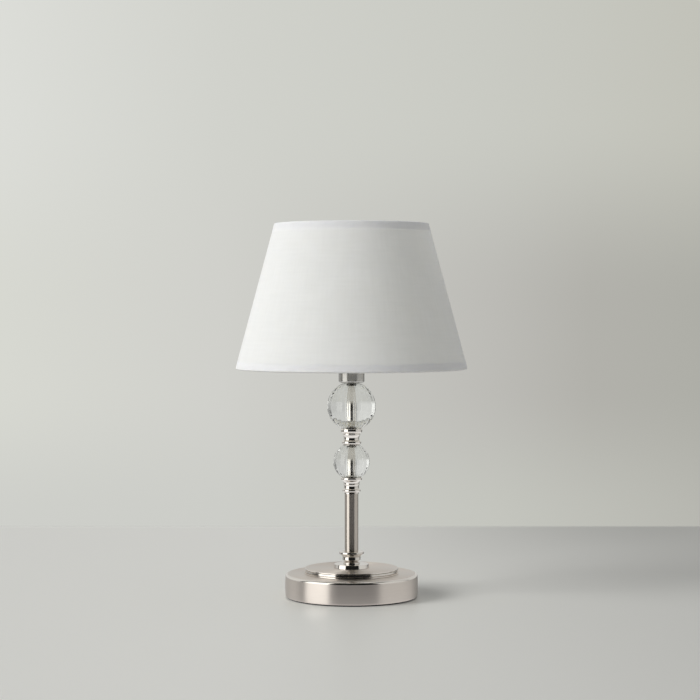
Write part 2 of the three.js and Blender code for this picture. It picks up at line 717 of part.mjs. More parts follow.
basePad();
baseCover();
baseWeight();
cordGland();
baseStep();
footFlange();
footCollarPiece();
stemTube();
stemCollarPiece();
middleCollarPiece();
glassBalls();
rodAndNuts();
holderCup();
holderBase();
terminalScrews();
contacts();
screwShell();
holderSkirt();
bulbTip();
bulbInsulator();
bulbCap();
bulbHousing();
bulbDome();
shadeCloth();
shadeWires();
shadeFitter();
shadeSpokes();
shadeRing();

export default lamp;
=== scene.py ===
import math

import bpy
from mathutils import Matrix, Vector


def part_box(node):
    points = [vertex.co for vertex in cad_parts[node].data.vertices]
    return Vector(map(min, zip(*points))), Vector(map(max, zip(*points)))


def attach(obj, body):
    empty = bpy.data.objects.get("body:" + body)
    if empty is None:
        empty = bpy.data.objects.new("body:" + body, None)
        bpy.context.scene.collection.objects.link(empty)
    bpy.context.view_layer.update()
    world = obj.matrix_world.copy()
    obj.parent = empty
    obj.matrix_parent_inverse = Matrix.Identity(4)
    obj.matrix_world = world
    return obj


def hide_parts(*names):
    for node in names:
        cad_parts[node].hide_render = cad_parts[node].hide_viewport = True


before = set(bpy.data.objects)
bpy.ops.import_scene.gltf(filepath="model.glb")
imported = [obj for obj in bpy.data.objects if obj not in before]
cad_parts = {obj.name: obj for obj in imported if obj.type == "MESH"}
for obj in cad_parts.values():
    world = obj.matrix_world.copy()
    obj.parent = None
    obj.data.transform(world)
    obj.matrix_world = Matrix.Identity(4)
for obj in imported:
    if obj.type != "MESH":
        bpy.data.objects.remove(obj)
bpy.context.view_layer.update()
scene = bpy.context.scene

MM = 0.001
TURN = 2 * math.pi


def tone(red, green, blue):
    """A colour as it is seen, 0 to 255, in linear values."""
    def linear(value):
        share = value / 255
        return share / 12.92 if share <= 0.04045 else ((share + 0.055) / 1.055) ** 2.4
    return (linear(red), linear(green), linear(blue), 1.0)


def grey(value):
    return (value, value, value, 1.0)


# Camera

LENS, SENSOR = 97.7, 36.0  # mm
CAMERA_PLACE = (-0.0016, -2.045, 0.315)  # metres
CAMERA_DIP = 1.36  # degrees below level


def make_camera():
    data = bpy.data.cameras.new("front_camera")
    data.lens = LENS
    data.sensor_width = SENSOR
    camera = bpy.data.objects.new("front_camera", data)
    camera.location = CAMERA_PLACE
    camera.rotation_euler = (math.radians(90 - CAMERA_DIP), 0, 0)
    scene.collection.objects.link(camera)
    scene.camera = camera


# Node trees

class Nodes:
    """A short way to write a node tree."""

    def __init__(self, tree):
        self.tree = tree
        tree.nodes.clear()

    def feed(self, socket, value):
        if isinstance(value, bpy.types.NodeSocket):
            self.tree.links.new(value, socket)
        else:
            socket.default_value = value

    def add(self, kind, sockets=None, **settings):
        node = self.tree.nodes.new("ShaderNode" + kind)
        for name, value in settings.items():
            setattr(node, name, value)
        for name, value in (sockets or {}).items():
            self.feed(node.inputs[name], value)
        return node

    def math(self, operation, *values):
        node = self.add("Math", operation=operation)
        for socket, value in zip(node.inputs, values):
            self.feed(socket, value)
        return node.outputs[0]

    def between(self, value, low, high):
        """0 below low, 1 above high, and a smooth rise from one to the other."""
        node = self.add("MapRange", interpolation_type="SMOOTHSTEP")
        for name, number in {"Value": value, "From Min": low, "From Max": high}.items():
            self.feed(node.inputs[name], number)
        return node.outputs["Result"]

    def spread(self, value, low, high):
        """A value of 0 to 1 spread over low to high."""
        return self.math("MULTIPLY_ADD", value, high - low, low)

    def mix(self, share, first, second):
        node = self.add("Mix", data_type="RGBA")
        for index, value in {0: share, 6: first, 7: second}.items():
            self.feed(node.inputs[index], value)
        return node.outputs[2]

    def ramp(self, value, stops):
        node = self.add("ValToRGB", {"Fac": value})
        elements = node.color_ramp.elements
        elements[0].position, elements[0].color = stops[0]
        elements[1].position, elements[1].color = stops[-1]
        for place, colour in stops[1:-1]:
            elements.new(place).color = colour
        return node.outputs["Color"]

    def noise(self, vector, scale=1.0, detail=2.0, roughness=0.5):
        sockets = {"Vector": vector, "Scale": scale, "Detail": detail, "Roughness": roughness}
        return self.add("TexNoise", sockets).outputs["Fac"]

    def vector(self, x, y, z):
        return self.add("CombineXYZ", {"X": x, "Y": y, "Z": z}).outputs[0]

    def place(self):
        """The three coordinates of the point on the piece, in metres."""
        spot = self.add("TexCoord").outputs["Object"]
        return self.add("SeparateXYZ", {"Vector": spot}).outputs

    def bump(self, height, strength, distance):
        sockets = {"Height": height, "Strength": strength, "Distance": distance}
        return self.add("Bump", sockets).outputs["Normal"]


# Light: one bright window to the left, a pale wall behind, a dark room in front

WINDOW = 1.8
ROOM = 0.012
AMBIENT = 0.43  # what lights matt surfaces, from every side
CEILING = 0.5
WARMTH = 0.965  # blue as a share of red and green in what metal and glass show

# Brightness round the lamp by azimuth in degrees, 0 towards the camera and 90 to the right:
# what metal mirrors low down, what it mirrors higher up, and what is seen through glass.
MIRRORED_LOW = [
    (-180, 0.6), (-172, 0.6), (-150, 0.42), (-115, 0.4), (-106, 0.14), (-90, 0.08),
    (-83, WINDOW), (-42, WINDOW), (-38, ROOM), (46, ROOM),
    (54, 0.5), (85, 0.62), (118, 0.6), (135, 0.2), (166, 0.15), (174, 0.6), (180, 0.6),
]
MIRRORED_HIGH = [
    (-180, 0.66), (-135, 0.78), (-103, 0.76), (-97, 0.16), (-92, 0.16),
    (-83, WINDOW), (-42, WINDOW), (-38, ROOM), (46, ROOM),
    (54, 0.72), (108, 0.7), (114, 0.45), (118, 0.45), (124, 0.66), (180, 0.66),
]
THROUGH_GLASS = [
    (-180, 0.57), (-172, 0.58), (-160, 0.68), (-128, 0.68), (-122, 1.2), (-112, 1.2),
    (-106, 0.12), (-92, 0.12), (-84, WINDOW), (-42, WINDOW), (-38, ROOM), (46, ROOM),
    (54, 0.7), (98, 0.7), (106, 0.15), (116, 0.15), (124, 0.57), (180, 0.57),
]


def sine(degrees):
    return math.sin(math.radians(degrees))


def ring_light(nodes, x, y, stops):
    """Light that changes round the lamp, from stops of azimuth and brightness."""
    azimuth = nodes.math("ARCTAN2", x, nodes.math("MULTIPLY", y, -1))
    share = nodes.math("MULTIPLY_ADD", azimuth, 1 / TURN, 0.5)
    ring = nodes.ramp(share, [
        ((degrees + 180) / 360, (value / WINDOW, value / WINDOW, value * WARMTH / WINDOW, 1))
        for degrees, value in stops
    ])
    bright = nodes.add("VectorMath", {0: ring}, operation="SCALE")
    nodes.feed(bright.inputs["Scale"], WINDOW)
    return bright.outputs[0]


def mirrored_light(nodes, x, y, z):
    """The surroundings that metal shows."""
    side = nodes.mix(nodes.between(z, sine(-2), sine(3)), ring_light(nodes, x, y, MIRRORED_LOW),
                     ring_light(nodes, x, y, MIRRORED_HIGH))
    upper = nodes.mix(nodes.between(z, sine(50), sine(66)), side, grey(ROOM * 2))
    below = nodes.between(nodes.math("MULTIPLY", z, -1), sine(13), sine(24))
    return nodes.mix(below, upper, grey(0.95))


def glass_light(nodes, x, y, z):
    """The surroundings that show through the glass balls."""
    side = ring_light(nodes, x, y, THROUGH_GLASS)
    above = nodes.between(z, sine(55), sine(80))
    below = nodes.between(nodes.math("MULTIPLY", z, -1), sine(4), sine(14))
    return nodes.mix(below, nodes.mix(above, side, grey(CEILING)), (0.55, 0.55, 0.52, 1))


PICTURE_SHARE = 2.7  # of the picture's width, for each metre sideways at a distance of one metre


def wall_colour(nodes, x, y, z):
    """The wall as the camera sees it, in three heights: painted brighter at the left, where the window lights
    it, and darker low down at the right, a painted shadow of the shade.
    """
    across = nodes.math("DIVIDE", x, nodes.math("ABSOLUTE", y))
    share = nodes.math("MULTIPLY_ADD", across, PICTURE_SHARE, 0.5)
    high = nodes.ramp(share, [
        (0.0, tone(220, 221, 216)), (0.32, tone(209, 210, 204)), (0.7, tone(201, 202, 195)),
        (1.0, tone(194, 194, 185)),
    ])
    # Low down at the right, a painted shadow of the shade on the wall
    low = nodes.ramp(share, [
        (0.0, tone(215, 216, 209)), (0.32, tone(208, 208, 203)), (0.7, tone(188, 187, 182)),
        (0.84, tone(178, 177, 171)), (1.0, tone(174, 174, 167)),
    ])
    foot = nodes.ramp(share, [
        (0.0, tone(206, 207, 202)), (0.32, tone(204, 205, 200)), (0.7, tone(196, 197, 190)),
        (1.0, tone(183, 183, 176)),
    ])
    body = nodes.mix(nodes.between(z, 0.0, 0.1), low, high)
    return nodes.mix(nodes.between(nodes.math("MULTIPLY", z, -1), 0.04, 0.115), body, foot)


def make_world():
    world = bpy.data.worlds.new("studio")
    world.use_nodes = True
    scene.world = world
    nodes = Nodes(world.node_tree)
    direction = nodes.add("TexCoord").outputs["Generated"]
    x, y, z = nodes.add("SeparateXYZ", {"Vector": direction}).outputs
    ray = nodes.add("LightPath").outputs
    shiny = nodes.mix(ray["Is Transmission Ray"], mirrored_light(nodes, x, y, z), glass_light(nodes, x, y, z))
    light = nodes.mix(ray["Is Glossy Ray"], grey(AMBIENT), shiny)
    seen = nodes.mix(ray["Is Camera Ray"], light, wall_colour(nodes, x, y, z))
    background = nodes.add("Background", {"Color": seen})
    nodes.add("OutputWorld", {"Surface": background.outputs[0]})
    scene.view_settings.view_transform = "Standard"


KEY_POWER = 2.0
KEY_SPREAD, KEY_AZIMUTH, KEY_HEIGHT = 30, -67, 27  # degrees


def make_key():
    """A broad soft light from the front left, kept out of reflections, which the window fills."""
    data = bpy.data.lights.new("key", "SUN")
    data.energy = KEY_POWER
    data.angle = math.radians(KEY_SPREAD)
    key = bpy.data.objects.new("key", data)
    azimuth, height = math.radians(KEY_AZIMUTH), math.radians(KEY_HEIGHT)
    level = math.cos(height)
    towards = Vector((math.sin(azimuth) * level, -math.cos(azimuth) * level, math.sin(height)))
    key.rotation_euler = towards.to_track_quat("Z", "Y").to_euler()
    key.visible_glossy = False
    key.visible_transmission = False
    scene.collection.objects.link(key)


# In metres: half its width, how far it comes forward, and how far behind the lamp it ends
FLOOR_SIDE, FLOOR_FRONT, FLOOR_EDGE = 3, -4, 0.65

# Painted light on the floor round the base: centre and size in metres, and the change.
# Two painted shadows, at its right and behind it, and a painted reflection of the window thrown forward as a
# streak.
PAINTED_FLOOR_PATCHES = [
    ((0.08, 0.025), (0.032, 0.045), -0.36),
    ((0.085, 0.085), (0.045, 0.035), -0.22),
    ((-0.038, -0.11), (0.012, 0.042), 0.13),
]


def patch(nodes, x, y, centre, size):
    """1 at a place on the floor, falling off smoothly over the size, in metres."""
    squares = []
    for place, middle, reach in zip((x, y), centre, size):
        away = nodes.math("MULTIPLY_ADD", place, 1 / reach, -middle / reach)
        squares.append(nodes.math("MULTIPLY", away, away))
    return nodes.math("EXPONENT", nodes.math("MULTIPLY", nodes.math("ADD", *squares), -1))


def painted_base_light(nodes, x, y):
    """A share that paints the base's shadows and a streak of the window's reflection into the floor's colour.
    """
    light = 1.0
    for centre, size, change in PAINTED_FLOOR_PATCHES:
        share = nodes.math("MULTIPLY_ADD", patch(nodes, x, y, centre, size), change, 1)
        light = nodes.math("MULTIPLY", light, share)
    return light


def make_floor():
    corners = [
        (-FLOOR_SIDE, FLOOR_FRONT, 0), (FLOOR_SIDE, FLOOR_FRONT, 0),
        (FLOOR_SIDE, FLOOR_EDGE, 0), (-FLOOR_SIDE, FLOOR_EDGE, 0),
    ]
    mesh = bpy.data.meshes.new("floor")
    mesh.from_pydata(corners, [], [(0, 1, 2, 3)])
    floor = bpy.data.objects.new("floor", mesh)
    scene.collection.objects.link(floor)
    material = bpy.data.materials.new("floor")
    material.use_nodes = True
    nodes = Nodes(material.node_tree)
    x, y = nodes.place()[:2]
    # The floor's colour is painted darker to the right and further back: painted shade, where less light
    # reaches and the shade's shadow falls
    behind = nodes.between(y, 0.0, FLOOR_EDGE)
    rightward = nodes.between(x, -0.15, 0.5)
    far_right = nodes.mix(behind, (0.58, 0.58, 0.55, 1), (0.38, 0.38, 0.36, 1))
    colour = nodes.mix(rightward, (0.82, 0.82, 0.78, 1), far_right)
    # The painted shadows and the painted streak of light scale the floor's colour
    lit = nodes.add("VectorMath", {0: colour, "Scale": painted_base_light(nodes, x, y)}, operation="SCALE")
    surface = nodes.add("BsdfPrincipled", {"Base Color": lit.outputs[0], "Roughness": 0.42})
    nodes.add("OutputMaterial", {"Surface": surface.outputs[0]})
    mesh.materials.append(material)
    floor.visible_glossy = False
    floor.visible_transmission = False


# Materials

def finish(name, colour, roughness, build, **values):
    """A material from a Principled surface. build(nodes, surface) adds what varies over it."""
    material = bpy.data.materials.new(name)
    material.use_nodes = True
    nodes = Nodes(material.node_tree)
    surface = nodes.add("BsdfPrincipled", {"Base Color": colour, "Roughness": roughness})
    for socket, value in values.items():
        surface.inputs[socket.replace("_", " ")].default_value = value
    build(nodes, surface)
    nodes.add("OutputMaterial", {"Surface": surface.outputs[0]})
    return material


def turned_place(nodes, round_scale, line_scale):
    """A place on a turned piece: slow along a turning line, quick from one line to the next."""
    x, y, z = nodes.place()
    plane = nodes.math("MULTIPLY_ADD", x, x, nodes.math("MULTIPLY", y, y))
    radius = nodes.math("SQRT", nodes.math("ADD", plane, 1e-9))
    across = nodes.math("MULTIPLY", nodes.math("ADD", radius, z), line_scale)
    return nodes.vector(
        nodes.math("MULTIPLY", nodes.math("DIVIDE", x, radius), round_scale),
        nodes.math("MULTIPLY", nodes.math("DIVIDE", y, radius), round_scale),
        across,
    )


def brushed(dark, light, low, high):
    """A build for metal with fine lines from a brush that ran round the piece."""
    def build(nodes, surface):
        fine = nodes.noise(turned_place(nodes, 5.0, 3600.0), detail=3.0, roughness=0.7)
        broad = nodes.noise(turned_place(nodes, 3.0, 700.0), detail=3.0, roughness=0.6)
        cloudy = nodes.noise(nodes.add("TexCoord").outputs["Object"], scale=55.0, detail=2.0)
        lines = nodes.mix(0.45, fine, broad)
        nodes.feed(surface.inputs["Base Color"], nodes.mix(lines, dark, light))
        rough = nodes.math("ADD", nodes.spread(lines, low, high), nodes.spread(cloudy, -0.015, 0.015))
        nodes.feed(surface.inputs["Roughness"], rough)
        nodes.feed(surface.inputs["Normal"], nodes.bump(lines, 0.25, 0.00003))
        tangent = nodes.add("Tangent", direction_type="RADIAL", axis="Z")
        nodes.feed(surface.inputs["Tangent"], tangent.outputs[0])
    return build


def polished(nodes, surface):
    """Mirror plating over turned metal, with the faintest turning lines and a haze from handling."""
    lines = nodes.noise(turned_place(nodes, 2.0, 2500.0), detail=2.0)
    haze = nodes.noise(nodes.add("TexCoord").outputs["Object"], scale=120.0, detail=3.0)
    rough = nodes.math("ADD", nodes.spread(haze, 0.045, 0.10), nodes.spread(lines, 0.0, 0.02))
    nodes.feed(surface.inputs["Roughness"], rough)
    nodes.feed(surface.inputs["Normal"], nodes.bump(lines, 0.06, 0.00002))
    tint = nodes.mix(haze, (0.74, 0.70, 0.66, 1), (0.82, 0.785, 0.745, 1))
    nodes.feed(surface.inputs["Base Color"], tint)


def cut_glass(nodes, surface):
    """Clear glass, a little uneven in its tint and in the polish of the cuts."""
    spot = nodes.add("TexCoord").outputs["Object"]
    cloudy = nodes.noise(spot, scale=70.0, detail=2.0)
    fine = nodes.noise(spot, scale=420.0, detail=2.0)
    tint = nodes.mix(cloudy, (0.975, 0.988, 0.978, 1), (0.99, 0.995, 0.988, 1))
    nodes.feed(surface.inputs["Base Color"], tint)
    nodes.feed(surface.inputs["Roughness"], nodes.spread(fine, 0.0, 0.015))
    nodes.feed(surface.inputs["Normal"], nodes.bump(cloudy, 0.03, 0.00005))


def speckled(scale, light, dark, low, high, strength, distance):
    """A build for moulded, cast, plated and felted surfaces: grain in colour, roughness and relief."""
    def build(nodes, surface):
        spot = nodes.add("TexCoord").outputs["Object"]
        grain = nodes.noise(spot, scale=scale, detail=4.0, roughness=0.65)
        patches = nodes.noise(spot, scale=scale / 14, detail=2.0)
        nodes.feed(surface.inputs["Base Color"], nodes.mix(nodes.mix(0.4, grain, patches), dark, light))
        nodes.feed(surface.inputs["Roughness"], nodes.spread(grain, low, high))
        nodes.feed(surface.inputs["Normal"], nodes.bump(grain, strength, distance))
    return build


THREAD = 0.00062  # metres from one thread of the cloth to the next
THROUGH = 0.0013  # metres that light travels inside the cloth
CONE_RADIUS = 0.104  # metres, the middle of the shade


def along_threads(nodes, quick, slow, quick_scale, slow_scale, shift, detail=2.0):
    """Noise that changes quickly from one thread to the next and slowly along each."""
    across_threads = nodes.math("MULTIPLY", quick, quick_scale)
    along = nodes.math("MULTIPLY", slow, slow_scale)
    return nodes.noise(nodes.vector(across_threads, along, shift), detail=detail)


def linen(nodes, surface):
    """A plain weave: threads round and up the cone, thick and thin places, and a few slubs."""
    x, y, z = nodes.place()
    across = nodes.math("MULTIPLY", nodes.math("ARCTAN2", y, x), CONE_RADIUS)
    warp_drift = along_threads(nodes, across, z, 900.0, 30.0, 0.0)
    weft_drift = along_threads(nodes, z, across, 900.0, 30.0, 3.0)
    warp_at = nodes.math("ADD", nodes.math("DIVIDE", across, THREAD), nodes.spread(warp_drift, -0.5, 0.5))
    weft_at = nodes.math("ADD", nodes.math("DIVIDE", z, THREAD), nodes.spread(weft_drift, -0.5, 0.5))
    warp = nodes.math("SINE", nodes.math("MULTIPLY", warp_at, math.pi))
    weft = nodes.math("SINE", nodes.math("MULTIPLY", weft_at, math.pi))
    over = nodes.math("MULTIPLY", warp, weft)
    threads = nodes.math("ADD", nodes.math("ABSOLUTE", warp), nodes.math("ABSOLUTE", weft))
    weave = nodes.math("MULTIPLY_ADD", threads, 0.3, nodes.math("MULTIPLY_ADD", over, 0.2, 0.2))
    slubs_up = along_threads(nodes, across, z, 420.0, 22.0, 7.0, detail=3.0)
    slubs_round = along_threads(nodes, z, across, 420.0, 22.0, 11.0, detail=3.0)
    slubs = nodes.mix(0.5, slubs_up, slubs_round)
    mottle = nodes.noise(nodes.add("TexCoord").outputs["Object"], scale=60.0, detail=3.0)
    height = nodes.math("MULTIPLY_ADD", slubs, 1.2, weave)
    shade = nodes.math("ADD", nodes.spread(slubs, 0.0, 0.75), nodes.spread(mottle, 0.0, 0.35))
    # The doubled cloth of the hems lets less light through, and a lighter tint, painted light, makes up for
    # it
    low, high = levels("shade_cloth")
    past_low_hem = nodes.between(z, (low + HEM) * MM, (low + HEM + HEM_FADE) * MM)
    in_high_hem = nodes.between(z, (high - HEM - HEM_FADE) * MM, (high - HEM) * MM)
    single = nodes.math("MULTIPLY", past_low_hem, nodes.math("SUBTRACT", 1.0, in_high_hem))
    single_tint = nodes.mix(shade, (0.74, 0.745, 0.725, 1), (0.86, 0.865, 0.845, 1))
    hem_painted_light_tint = nodes.mix(shade, (0.86, 0.865, 0.845, 1), (0.96, 0.965, 0.945, 1))
    nodes.feed(surface.inputs["Base Color"], nodes.mix(single, hem_painted_light_tint, single_tint))
    nodes.feed(surface.inputs["Roughness"], nodes.spread(slubs, 0.85, 1.0))
    nodes.feed(surface.inputs["Normal"], nodes.bump(height, 0.35, 0.00012))


WHITE = (0.8, 0.79, 0.77, 1)
OFF_WHITE = (0.7, 0.69, 0.66, 1)


def make_finishes():
    satin = brushed((0.645, 0.585, 0.535, 1), (0.78, 0.72, 0.67, 1), 0.36, 0.44)
    tube_satin = brushed((0.49, 0.445, 0.4, 1), (0.59, 0.54, 0.495, 1), 0.22, 0.28)
    # The cup's satin is the satin nickel made darker: painted shade, for the lampshade that hangs over the
    # cup
    cup_satin_painted_shade = brushed((0.47, 0.46, 0.44, 1), (0.57, 0.56, 0.54, 1), 0.24, 0.3)
    zinc = speckled(900, (0.62, 0.64, 0.66, 1), (0.46, 0.48, 0.5, 1), 0.28, 0.5, 0.2, 0.00002)
    brass = speckled(700, (0.8, 0.62, 0.3, 1), (0.62, 0.45, 0.2, 1), 0.18, 0.38, 0.1, 0.00002)
    aluminium = speckled(800, (0.78, 0.79, 0.8, 1), (0.62, 0.63, 0.65, 1), 0.25, 0.42, 0.15, 0.00002)
    casting = speckled(420, (0.52, 0.5, 0.47, 1), (0.3, 0.29, 0.27, 1), 0.8, 1.0, 0.8, 0.0004)
    felt = speckled(1500, (0.05, 0.05, 0.055, 1), (0.015, 0.015, 0.017, 1), 0.9, 1.0, 0.9, 0.0003)
    rubber = speckled(1200, (0.06, 0.06, 0.065, 1), (0.03, 0.03, 0.033, 1), 0.45, 0.65, 0.25, 0.00004)
    moulded = speckled(1000, WHITE, OFF_WHITE, 0.35, 0.55, 0.12, 0.00003)
    enamel = speckled(600, (0.82, 0.815, 0.8, 1), (0.72, 0.715, 0.7, 1), 0.28, 0.42, 0.15, 0.00005)
    opal = speckled(350, (0.86, 0.855, 0.84, 1), (0.8, 0.795, 0.78, 1), 0.16, 0.24, 0.03, 0.00003)
    frosted = speckled(800, (0.74, 0.73, 0.69, 1), (0.6, 0.59, 0.56, 1), 0.35, 0.55, 0.1, 0.00003)
    backing = speckled(260, (0.93, 0.925, 0.88, 1), (0.88, 0.875, 0.83, 1), 0.5, 0.65, 0.08, 0.00005)
    return {
        "satin_nickel": finish("satin_nickel", WHITE, 0.4, satin, Metallic=1.0, Anisotropic=0.98,
                               Anisotropic_Rotation=0.25),
        "tube_satin": finish("tube_satin", WHITE, 0.25, tube_satin, Metallic=1.0, Anisotropic=0.9,
                             Anisotropic_Rotation=0.25),
        "cup_satin_painted_shade": finish("cup_satin_painted_shade", WHITE, 0.25, cup_satin_painted_shade, Metallic=1.0, Anisotropic=0.9,
                            Anisotropic_Rotation=0.25),
        "polished_nickel": finish("polished_nickel", WHITE, 0.08, polished, Metallic=1.0),
        "ball_glass": finish("ball_glass", WHITE, 0.0, cut_glass, Transmission_Weight=1.0, IOR=1.5),
        "seal": finish("seal", WHITE, 0.4, frosted),
        "zinc_steel": finish("zinc_steel", WHITE, 0.4, zinc, Metallic=1.0),
        "brass": finish("brass", WHITE, 0.3, brass, Metallic=1.0),
        "aluminium": finish("aluminium", WHITE, 0.3, aluminium, Metallic=1.0),
        "casting": finish("casting", WHITE, 0.9, casting),
        "felt": finish("felt", WHITE, 1.0, felt, Sheen_Weight=0.4),
        "rubber": finish("rubber", WHITE, 0.5, rubber),
        "insulation": finish("insulation", WHITE, 0.4, moulded),
        "white_wire": finish("white_wire", WHITE, 0.35, enamel, Coat_Weight=0.2),
        "opal": finish("opal", WHITE, 0.2, opal, Subsurface_Weight=0.15, Subsurface_Scale=0.004),
        "shade_cloth": finish("shade_cloth", WHITE, 0.9, linen, Sheen_Weight=0.06, Sheen_Roughness=0.5,
                              Specular_IOR_Level=0.25, Subsurface_Weight=1.0, Subsurface_Scale=THROUGH,
                              Subsurface_Radius=(1.0, 0.98, 0.92)),
        "backing": finish("backing", WHITE, 0.6, backing, Specular_IOR_Level=0.3, Subsurface_Weight=1.0,
                          Subsurface_Scale=THROUGH, Subsurface_Radius=(1.0, 0.98, 0.92)),
    }


# Outlines: lists of (radius, height) in mm, written anticlockwise

def arc(radius, height, size, start, end, steps=8):
    """Part of a circle round (radius, height), from one angle in degrees to another."""
    angles = [math.radians(start + (end - start) * i / steps) for i in range(steps + 1)]
    return [(radius + size * math.cos(a), height + size * math.sin(a)) for a in angles]


def curve(start, middle, end, steps=8):
    """A smooth bend from start to end that leaves and arrives along the lines to middle."""
    points = []
    for i in range(steps + 1):
        t = i / steps
        points.append(tuple(
            (1 - t) ** 2 * a + 2 * t * (1 - t) * b + t ** 2 * c for a, b, c in zip(start, middle, end)
        ))
    return points


def bead(edge, crest, low, high, steps=12):
    """Half an ellipse that stands out from edge to crest."""
    middle, half = (low + high) / 2, (high - low) / 2
    angles = [math.pi * (i / steps - 0.5) for i in range(steps + 1)]
    return [(edge + (crest - edge) * math.cos(a), middle + half * math.sin(a)) for a in angles]


def rounded(corners):
    """Each corner is (radius, height) or (radius, height, fillet). The first and last stay as they are."""
    points = [corners[0][:2]]
    for before, corner, after in zip(corners, corners[1:], corners[2:]):
        here = Vector(corner[:2])
        if len(corner) < 3:
            points.append(tuple(here))
            continue
        back, on = Vector(before[:2]) - here, Vector(after[:2]) - here
        half = back.angle(on) / 2
        reach = min(corner[2] / math.tan(half), 0.5 * back.length, 0.5 * on.length)
        start, end = here + back.normalized() * reach, here + on.normalized() * reach
        steps = max(3, round(math.degrees(math.pi - 2 * half) / 12))
        weight = math.sin(half)
        for i in range(steps + 1):
            t = i / steps
            parts = ((1 - t) ** 2, 2 * t * (1 - t) * weight, t ** 2)
            points.append(tuple((parts[0] * start + parts[1] * here + parts[2] * end) / sum(parts)))
    points.append(corners[-1][:2])
    return points


HOLD = 0.2  # mm from a bend to the extra point beside it


def held(outline):
    """Extra points beside each bend, so that a long straight side looks straight in the light."""
    points = []
    for start, end in zip(outline, outline[1:]):
        points.append(start)
        gap = math.dist(start, end)
        if gap > 4 * HOLD:
            shares = (HOLD / gap, 1 - HOLD / gap)
            points += [tuple(a + (b - a) * share for a, b in zip(start, end)) for share in shares]
    return points + [outline[-1]]


# Meshes

def skin(name, rings, closed=False):
    """A mesh over rings of points in mm. A ring of one point closes an end."""
    starts, points, faces = [], [], []
    for ring in rings:
        starts.append(len(points))
        points.extend(Vector(point) * MM for point in ring)
    pairs = [(i, i + 1) for i in range(len(rings) - 1)] + ([(len(rings) - 1, 0)] if closed else [])
    for low, high in pairs:
        count = max(len(rings[low]), len(rings[high]))
        for i in range(count if count > 1 else 0):
            corners = []
            for ring, place in ((low, i), (low, i + 1), (high, i + 1), (high, i)):
                corner = starts[ring] + place % len(rings[ring])
                if corner not in corners:
                    corners.append(corner)
            faces.append(corners)
    mesh = bpy.data.meshes.new(name)
    mesh.from_pydata(points, [], faces)
    return mesh


def turn(outline, segments=160):
    """Rings for skin from an outline turned round the z axis."""
    rings = []
    for radius, height in outline:
        if radius < 1e-6:
            rings.append([(0, 0, height)])
            continue
        angles = [TURN * i / segments for i in range(segments)]
        rings.append([(radius * math.cos(a), radius * math.sin(a), height) for a in angles])
    return rings


def dress(node, body, rings, finishes, closed=False, choose=None, sharp=32):
    """A fine piece in place of a CAD node. choose(centre, normal) picks one of the finishes."""
    mesh = skin(node + "_fine", rings, closed)
    for one in finishes:
        mesh.materials.append(FINISH[one])
    for face in mesh.polygons:
        face.use_smooth = True
        if choose:
            face.material_index = choose(face.center / MM, face.normal)
    mesh.set_sharp_from_angle(angle=math.radians(sharp))
    piece = bpy.data.objects.new(mesh.name, mesh)
    scene.collection.objects.link(piece)
    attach(piece, body)
    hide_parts(node)
    return piece


def levels(node):
    """The lowest and highest level of a CAD node, in mm."""
    low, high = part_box(node)
    return low.z / MM, high.z / MM


def reach(node):
    """The radius of a CAD node that is round about the z axis, in mm."""
    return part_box(node)[1].x / MM


# Base

HOLE = 4.3  # the radius of the holes that the hollow rod goes through
LEVEL = 0.985  # the upward part of a normal, from which a face counts as level
UPRIGHT = 0.08  # and up to which it counts as upright


def felt_pad():
    low, high = levels("felt_pad")
    radius = reach("felt_pad")
    outline = rounded([(0, low), (radius, low, 0.3), (radius, high, 0.3), (0, high)])
    dress("felt_pad", "stand", turn(held(outline)), ["felt"])


def base_cover():
    low, high = levels("base_cover")
    radius = reach("base_cover")
    wall, edge, barrel, tuck, polish = 1.2, 2.8, 0.3, 0.55, 3.2
    inner, ceiling, middle = radius - wall, high - wall, (low + high - edge) / 2
    half = middle - low
    side = [(radius - tuck * (i / 8 - 1) ** 2, low + 0.4 + (half - 0.4) * i / 8) for i in range(9)]
    side += [(radius - barrel * (i / 8) ** 2, middle + half * i / 8) for i in range(1, 9)]
    crown = arc(radius - barrel - edge, high - edge, edge, 6, 90, 12)
    outline = [
        (HOLE, ceiling), (inner - 1.0, ceiling), (inner - 0.4, ceiling - 0.4),
        (inner - barrel, ceiling - 1.2), (inner - barrel, low), (radius - tuck - 0.3, low),
        *side, *crown, (HOLE, high),
    ]

    def shoulder(centre, normal):
        outside = math.hypot(centre.x, centre.y) > radius - polish and centre.z > middle
        return 1 if outside and UPRIGHT < normal.z < LEVEL else 0
    dress("base_cover", "stand", turn(outline, 256), ["satin_nickel", "polished_nickel"],
          closed=True, choose=shoulder, sharp=40)


def base_step():
    """Three polished rings, one over the other, with narrow ledges between them."""
    low, high = levels("base_step")
    radius = reach("base_step")
    ledge = 1.5
    outline = held(rounded([
        (HOLE, low), (radius, low, 0.3), (radius - 0.1, low + 1.6, 0.25),
        (radius - ledge, low + 2.0, 0.1), (radius - ledge, low + 2.15, 0.1),
        (radius - 0.1, low + 2.4, 0.25), (radius - 0.25, low + 4.3, 0.25),
        (radius - ledge, low + 4.65, 0.1), (radius - ledge, low + 4.75, 0.1),
        (radius - 0.3, low + 4.95, 0.25), (radius - 0.5, high, 0.5), (HOLE, high),
    ]))

    def rim(centre, normal):
        return 1 if math.hypot(centre.x, centre.y) > radius - 2.0 and normal.z < LEVEL else 0
    dress("base_step", "stand", turn(outline, 224), ["satin_nickel", "polished_nickel"],
          closed=True, choose=rim, sharp=40)


